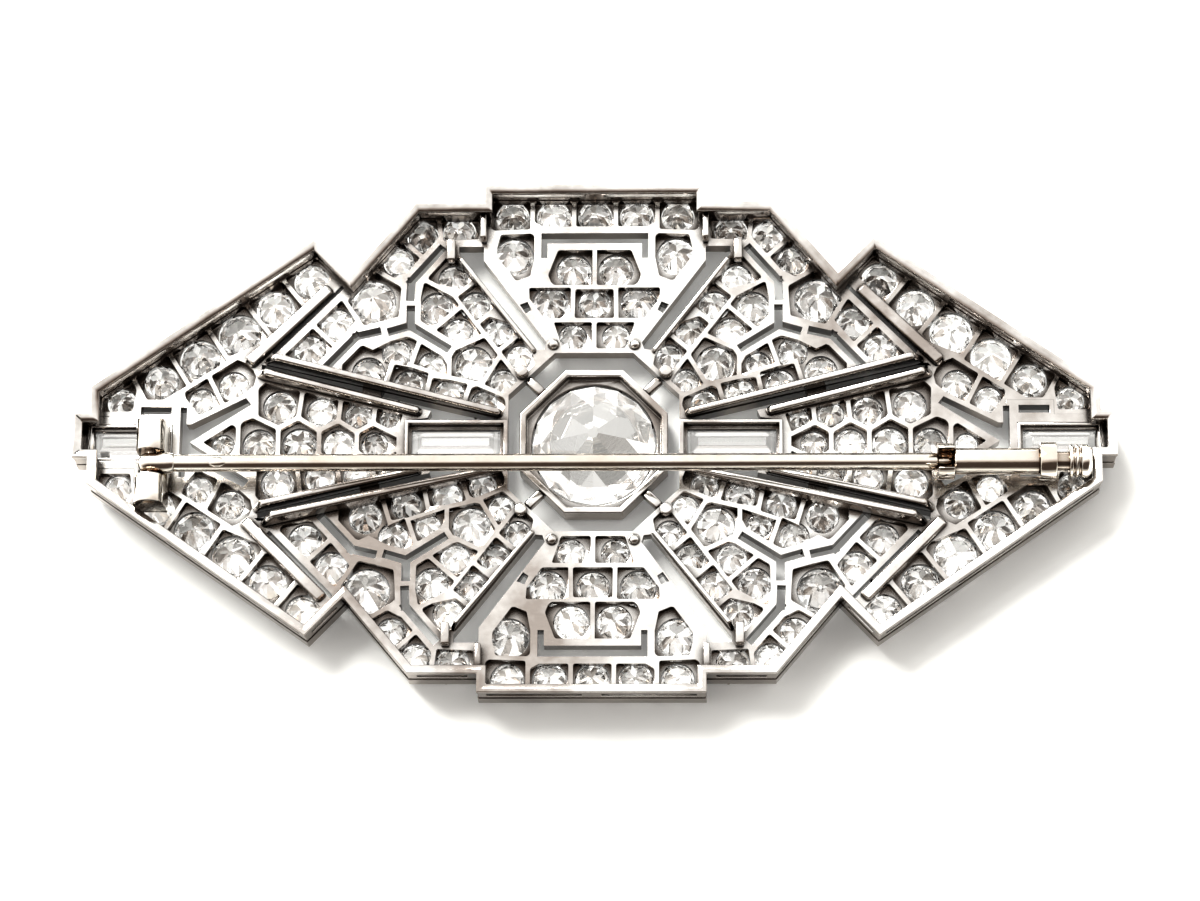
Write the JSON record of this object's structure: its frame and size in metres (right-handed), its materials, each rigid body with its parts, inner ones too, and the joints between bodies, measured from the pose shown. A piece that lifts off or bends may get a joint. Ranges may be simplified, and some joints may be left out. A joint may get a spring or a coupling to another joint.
{
  "type": "plaque brooch",
  "caption": "Pierced plaque brooch set with round and step-cut stones, with a hinged pin stem and a push-pull tube catch on its back.",
  "frame": {"origin": "on the table that the brooch lies on face down, under the middle of the centre stone", "axes": "+X along the plaque from the hinge to the catch, +Y up its short side, +Z from the front of the jewel to its back"},
  "size_m": [0.066, 0.0334, 0.0057],
  "materials": {
    "platinum": "polished platinum alloy with fine wear",
    "white_gold": "polished white gold, slightly champagne",
    "round_diamond": "polished facets",
    "baguette_diamond": "polished step facets"
  },
  "bodies": {
    "brooch": {"ball_rivets": "platinum", "bar_diamonds": "round_diamond", "bezel_pegs": "platinum", "bottom_panel": "platinum", "catch_collar": "white_gold", "catch_ring": "white_gold", "catch_tube": "white_gold", "centre_bezel": "platinum", "centre_diamond": "round_diamond", "diagonal_ribs": "platinum", "end_baguettes": "baguette_diamond", "end_collet_left": "platinum", "end_collet_right": "platinum", "end_panel_left": "platinum", "end_panel_right": "platinum", "fan_diamonds": "round_diamond", "fan_knobs": "platinum", "fan_panel_lower_left": "platinum", "fan_panel_lower_right": "platinum", "fan_panel_upper_left": "platinum", "fan_panel_upper_right": "platinum", "gallery_wall": "platinum", "hinge_base": "white_gold", "hinge_knuckle_inner": "white_gold", "hinge_knuckle_outer": "white_gold", "hinge_rivet": "white_gold", "inner_baguettes": "baguette_diamond", "inner_collet_left": "platinum", "inner_collet_right": "platinum", "long_ribs": "platinum", "panel_diamonds": "round_diamond", "rim_rail": "platinum", "shield_diamonds": "round_diamond", "short_ribs": "platinum", "shoulder_bridges": "platinum", "shoulder_diamonds": "round_diamond", "shoulder_panel_lower_left": "platinum", "shoulder_panel_lower_right": "platinum", "shoulder_panel_upper_left": "platinum", "shoulder_panel_upper_right": "platinum", "side_diamonds": "round_diamond", "side_panel_left": "platinum", "side_panel_right": "platinum", "step_struts": "platinum", "top_panel": "platinum", "wing_diamonds": "round_diamond", "wing_panel_lower_left": "platinum", "wing_panel_lower_right": "platinum", "wing_panel_upper_left": "platinum", "wing_panel_upper_right": "platinum", "wing_ribs": "platinum"},
    "pin": {"pin_stem": "white_gold", "pin_knuckle": "white_gold"},
    "catch_slider": {"catch_slider_tube": "white_gold", "catch_knob": "white_gold"}
  },
  "joints": [
    {"name": "pin_swing", "type": "hinge", "parent": "brooch", "child": "pin", "pos_m": [-0.0279, -0.00205, 0.0045], "axis": [0, -1, 0], "range_deg": [0, 100]},
    {"name": "catch_slide", "type": "slide", "parent": "brooch", "child": "catch_slider", "axis": [1, 0, 0], "range_m": [-0.00078, 0]}
  ]
}
